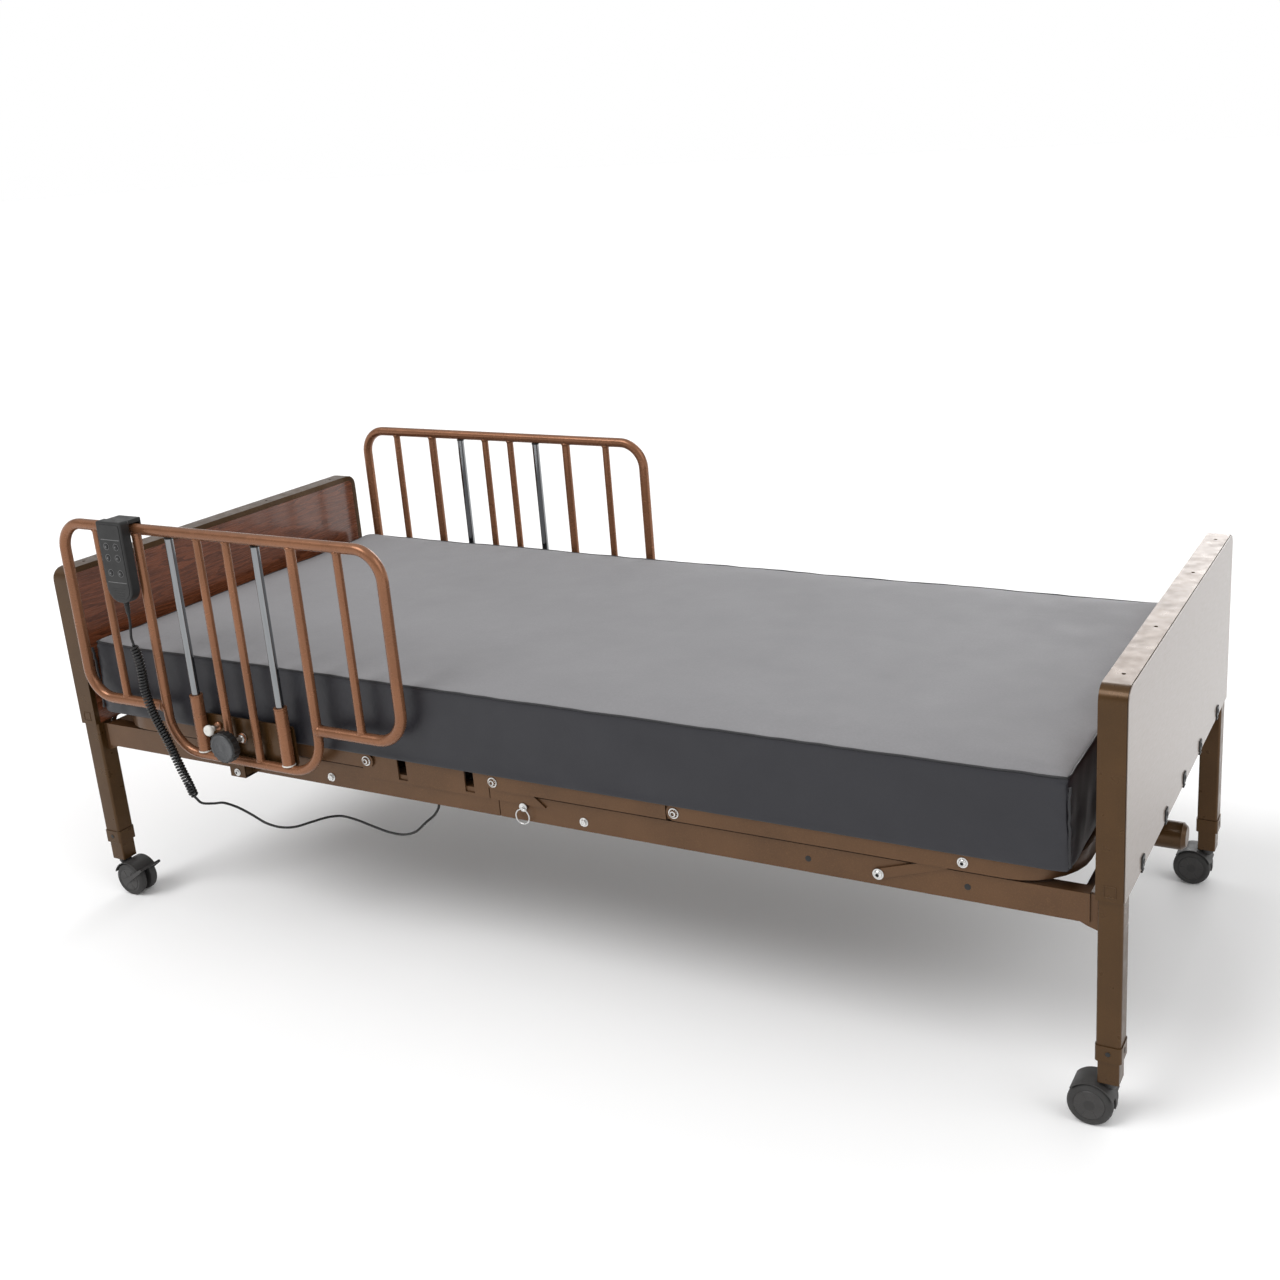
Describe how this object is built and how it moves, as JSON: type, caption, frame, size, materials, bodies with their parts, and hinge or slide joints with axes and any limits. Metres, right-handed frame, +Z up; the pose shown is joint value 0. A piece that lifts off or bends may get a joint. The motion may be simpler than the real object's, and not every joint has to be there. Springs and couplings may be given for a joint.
{
  "type": "hospital bed",
  "caption": "Adjustable hospital bed with a folding four-section deck, vinyl mattress, sliding half-length side rails, telescoping legs on casters and a hooked handset",
  "frame": {"origin": "on the floor, under the centre of the bed", "axes": "+X from the head end to the foot end, +Z up, the side with the handset is -Y"},
  "size_m": [2.235, 1.02, 0.884],
  "materials": {
    "frame_brown": "brown powder coat, semi-gloss, fine orange peel",
    "deck_brown": "mauve-brown powder coat, semi-gloss, with rubbed edges",
    "rail_copper": "copper-brown powder coat, smooth, semi-gloss",
    "wood_laminate": "reddish-brown wood-grain laminate, glossy",
    "foot_laminate": "beige-brown laminate with a soft satin sheen",
    "chrome": "polished chrome plate",
    "zinc": "bright zinc plate",
    "black_plastic": "fine-grained matte moulding",
    "white_plastic": "off-white nylon",
    "caster_plastic": "charcoal moulded plastic with a rubbed tread",
    "mattress_cover": "coated stretch cover, grey top and charcoal sides, soft sheen",
    "drive_housing": "grey moulded housing",
    "cord_rubber": "black flexible jacket"
  },
  "bodies": {
    "frame": {"head_end_frame": "frame_brown", "foot_end_frame": "frame_brown", "head_end_panel": "wood_laminate", "foot_end_panel": "foot_laminate", "head_half_frame": "deck_brown", "foot_half_frame": "deck_brown", "mattress_seat": "mattress_cover", "near_rail_mount": "rail_copper", "far_rail_mount": "rail_copper", "handset_lead_curly": "cord_rubber", "handset_lead_lower": "cord_rubber", "control_box": "drive_housing", "back_actuator": "drive_housing", "knee_actuator": "drive_housing", "hi_lo_motor": "frame_brown"},
    "head_legs": {"head_near_inner_leg": "frame_brown", "head_far_inner_leg": "frame_brown"},
    "head_near_caster": {"head_near_caster_fork": "caster_plastic"},
    "head_near_wheels": {"head_near_caster_wheels": "caster_plastic"},
    "head_near_brake": {"head_near_brake_pedal": "caster_plastic"},
    "head_far_caster": {"head_far_caster_fork": "caster_plastic"},
    "head_far_wheels": {"head_far_caster_wheels": "caster_plastic"},
    "head_far_brake": {"head_far_brake_pedal": "caster_plastic"},
    "foot_legs": {"foot_near_inner_leg": "frame_brown", "foot_far_inner_leg": "frame_brown"},
    "foot_near_caster": {"foot_near_caster_fork": "caster_plastic"},
    "foot_near_wheels": {"foot_near_caster_wheels": "caster_plastic"},
    "foot_far_caster": {"foot_far_caster_fork": "caster_plastic"},
    "foot_far_wheels": {"foot_far_caster_wheels": "caster_plastic"},
    "back_section": {"back_deck": "deck_brown", "mattress_back": "mattress_cover"},
    "thigh_section": {"thigh_deck": "deck_brown", "mattress_thigh": "mattress_cover"},
    "calf_section": {"calf_deck": "deck_brown", "mattress_calf": "mattress_cover"},
    "calf_link": {"calf_link": "deck_brown"},
    "back_rod": {"back_actuator_rod": "zinc"},
    "knee_rod": {"knee_actuator_rod": "zinc"},
    "drive_shaft": {"hi_lo_drive_shaft": "zinc"},
    "near_rail": {"near_rail_frame": "rail_copper", "near_rail_post_head": "chrome", "near_rail_post_foot": "chrome", "handset": "black_plastic", "handset_lead_upper": "cord_rubber"},
    "near_clamp": {"near_clamp_knob": "black_plastic"},
    "near_release": {"near_release_knob": "white_plastic"},
    "near_lock": {"near_lock_pin": "zinc"},
    "far_rail": {"far_rail_frame": "rail_copper", "far_rail_post_head": "chrome", "far_rail_post_foot": "chrome"},
    "far_clamp": {"far_clamp_knob": "black_plastic"},
    "far_release": {"far_release_knob": "white_plastic"},
    "far_lock": {"far_lock_pin": "zinc"},
    "button_back_up": {"button_back_up": "black_plastic"},
    "button_back_down": {"button_back_down": "black_plastic"},
    "button_knee_up": {"button_knee_up": "black_plastic"},
    "button_knee_down": {"button_knee_down": "black_plastic"},
    "button_bed_up": {"button_bed_up": "black_plastic"},
    "button_bed_down": {"button_bed_down": "black_plastic"}
  },
  "joints": [
    {"name": "head_lift", "type": "slide", "parent": "frame", "child": "head_legs", "axis": [0, 0, -1], "range_m": [0, 0.19]},
    {"name": "head_near_caster_swivel", "type": "hinge", "parent": "head_legs", "child": "head_near_caster", "pos_m": [-1.095, -0.4205, 0.08], "axis": [0, 0, 1], "continuous": true},
    {"name": "head_near_wheel_spin", "type": "hinge", "parent": "head_near_caster", "child": "head_near_wheels", "pos_m": [-1.067, -0.4205, 0.03742], "axis": [0, 1, 0], "continuous": true},
    {"name": "head_near_brake_press", "type": "hinge", "parent": "head_near_caster", "child": "head_near_brake", "pos_m": [-1.067, -0.4205, 0.03742], "axis": [0, 1, 0], "range_deg": [0, 15]},
    {"name": "head_far_caster_swivel", "type": "hinge", "parent": "head_legs", "child": "head_far_caster", "pos_m": [-1.095, 0.4205, 0.08], "axis": [0, 0, 1], "continuous": true},
    {"name": "head_far_wheel_spin", "type": "hinge", "parent": "head_far_caster", "child": "head_far_wheels", "pos_m": [-1.067, 0.4205, 0.03742], "axis": [0, 1, 0], "continuous": true},
    {"name": "head_far_brake_press", "type": "hinge", "parent": "head_far_caster", "child": "head_far_brake", "pos_m": [-1.067, 0.4205, 0.03742], "axis": [0, 1, 0], "range_deg": [0, 15]},
    {"name": "foot_lift", "type": "slide", "parent": "frame", "child": "foot_legs", "axis": [0, 0, -1], "range_m": [0, 0.19]},
    {"name": "foot_near_caster_swivel", "type": "hinge", "parent": "foot_legs", "child": "foot_near_caster", "pos_m": [1.095, -0.4205, 0.08], "axis": [0, 0, 1], "continuous": true},
    {"name": "foot_near_wheel_spin", "type": "hinge", "parent": "foot_near_caster", "child": "foot_near_wheels", "pos_m": [1.067, -0.4205, 0.03742], "axis": [0, 1, 0], "continuous": true},
    {"name": "foot_far_caster_swivel", "type": "hinge", "parent": "foot_legs", "child": "foot_far_caster", "pos_m": [1.095, 0.4205, 0.08], "axis": [0, 0, 1], "continuous": true},
    {"name": "foot_far_wheel_spin", "type": "hinge", "parent": "foot_far_caster", "child": "foot_far_wheels", "pos_m": [1.067, 0.4205, 0.03742], "axis": [0, 1, 0], "continuous": true},
    {"name": "back_raise", "type": "hinge", "parent": "frame", "child": "back_section", "pos_m": [-0.3405, 0, 0.425], "axis": [0, 1, 0], "range_deg": [0, 65]},
    {"name": "knee_raise", "type": "hinge", "parent": "frame", "child": "thigh_section", "pos_m": [-0.0445, 0, 0.425], "axis": [0, -1, 0], "range_deg": [0, 33]},
    {"name": "calf_fold", "type": "hinge", "parent": "thigh_section", "child": "calf_section", "pos_m": [0.3375, 0, 0.425], "axis": [0, 1, 0], "range_deg": [0, 47]},
    {"name": "link_swing", "type": "hinge", "parent": "frame", "child": "calf_link", "pos_m": [0.714, 0, 0.376], "axis": [0, -1, 0], "range_deg": [0, 46.5]},
    {"name": "back_rod_extend", "type": "slide", "parent": "frame", "child": "back_rod", "axis": [-1, 0, 0], "range_m": [0, 0.082]},
    {"name": "knee_rod_extend", "type": "slide", "parent": "frame", "child": "knee_rod", "axis": [1, 0, 0], "range_m": [0, 0.05]},
    {"name": "drive_shaft_turn", "type": "hinge", "parent": "frame", "child": "drive_shaft", "pos_m": [0, 0.1, 0.258], "axis": [1, 0, 0], "range_deg": [0, 3600]},
    {"name": "near_rail_slide", "type": "slide", "parent": "frame", "child": "near_rail", "axis": [0, 0, -1], "range_m": [0, 0.3], "deforming": ["handset_lead_curly"]},
    {"name": "near_clamp_turn", "type": "hinge", "parent": "frame", "child": "near_clamp", "pos_m": [-0.64, -0.49, 0.438], "axis": [0, 1, 0], "range_deg": [0, 720]},
    {"name": "near_release_pull", "type": "slide", "parent": "frame", "child": "near_release", "axis": [0, -1, 0], "range_m": [0, 0.008], "stiffness_N_per_m": 400},
    {"name": "near_lock_pull", "type": "slide", "parent": "frame", "child": "near_lock", "axis": [0, -1, 0], "range_m": [0, 0.022]},
    {"name": "far_rail_slide", "type": "slide", "parent": "frame", "child": "far_rail", "axis": [0, 0, -1], "range_m": [0, 0.3]},
    {"name": "far_clamp_turn", "type": "hinge", "parent": "frame", "child": "far_clamp", "pos_m": [-0.608, 0.49, 0.438], "axis": [0, -1, 0], "range_deg": [0, 720]},
    {"name": "far_release_pull", "type": "slide", "parent": "frame", "child": "far_release", "axis": [0, 1, 0], "range_m": [0, 0.008], "stiffness_N_per_m": 400},
    {"name": "far_lock_pull", "type": "slide", "parent": "frame", "child": "far_lock", "axis": [0, 1, 0], "range_m": [0, 0.022]},
    {"name": "button_back_up_press", "type": "slide", "parent": "near_rail", "child": "button_back_up", "axis": [0, 1, 0], "range_m": [0, 0.0012], "stiffness_N_per_m": 300},
    {"name": "button_back_down_press", "type": "slide", "parent": "near_rail", "child": "button_back_down", "axis": [0, 1, 0], "range_m": [0, 0.0012], "stiffness_N_per_m": 300},
    {"name": "button_knee_up_press", "type": "slide", "parent": "near_rail", "child": "button_knee_up", "axis": [0, 1, 0], "range_m": [0, 0.0012], "stiffness_N_per_m": 300},
    {"name": "button_knee_down_press", "type": "slide", "parent": "near_rail", "child": "button_knee_down", "axis": [0, 1, 0], "range_m": [0, 0.0012], "stiffness_N_per_m": 300},
    {"name": "button_bed_up_press", "type": "slide", "parent": "near_rail", "child": "button_bed_up", "axis": [0, 1, 0], "range_m": [0, 0.0012], "stiffness_N_per_m": 300},
    {"name": "button_bed_down_press", "type": "slide", "parent": "near_rail", "child": "button_bed_down", "axis": [0, 1, 0], "range_m": [0, 0.0012], "stiffness_N_per_m": 300}
  ],
  "couplings": [
    {"joint": "foot_lift", "follows": "head_lift", "ratio": 1},
    {"joint": "calf_fold", "follows": "knee_raise", "ratio": 1.41},
    {"joint": "link_swing", "follows": "knee_raise", "ratio": 1.4},
    {"joint": "back_rod_extend", "follows": "back_raise", "m_per_rad": 0.0714},
    {"joint": "knee_rod_extend", "follows": "knee_raise", "m_per_rad": 0.085}
  ]
}
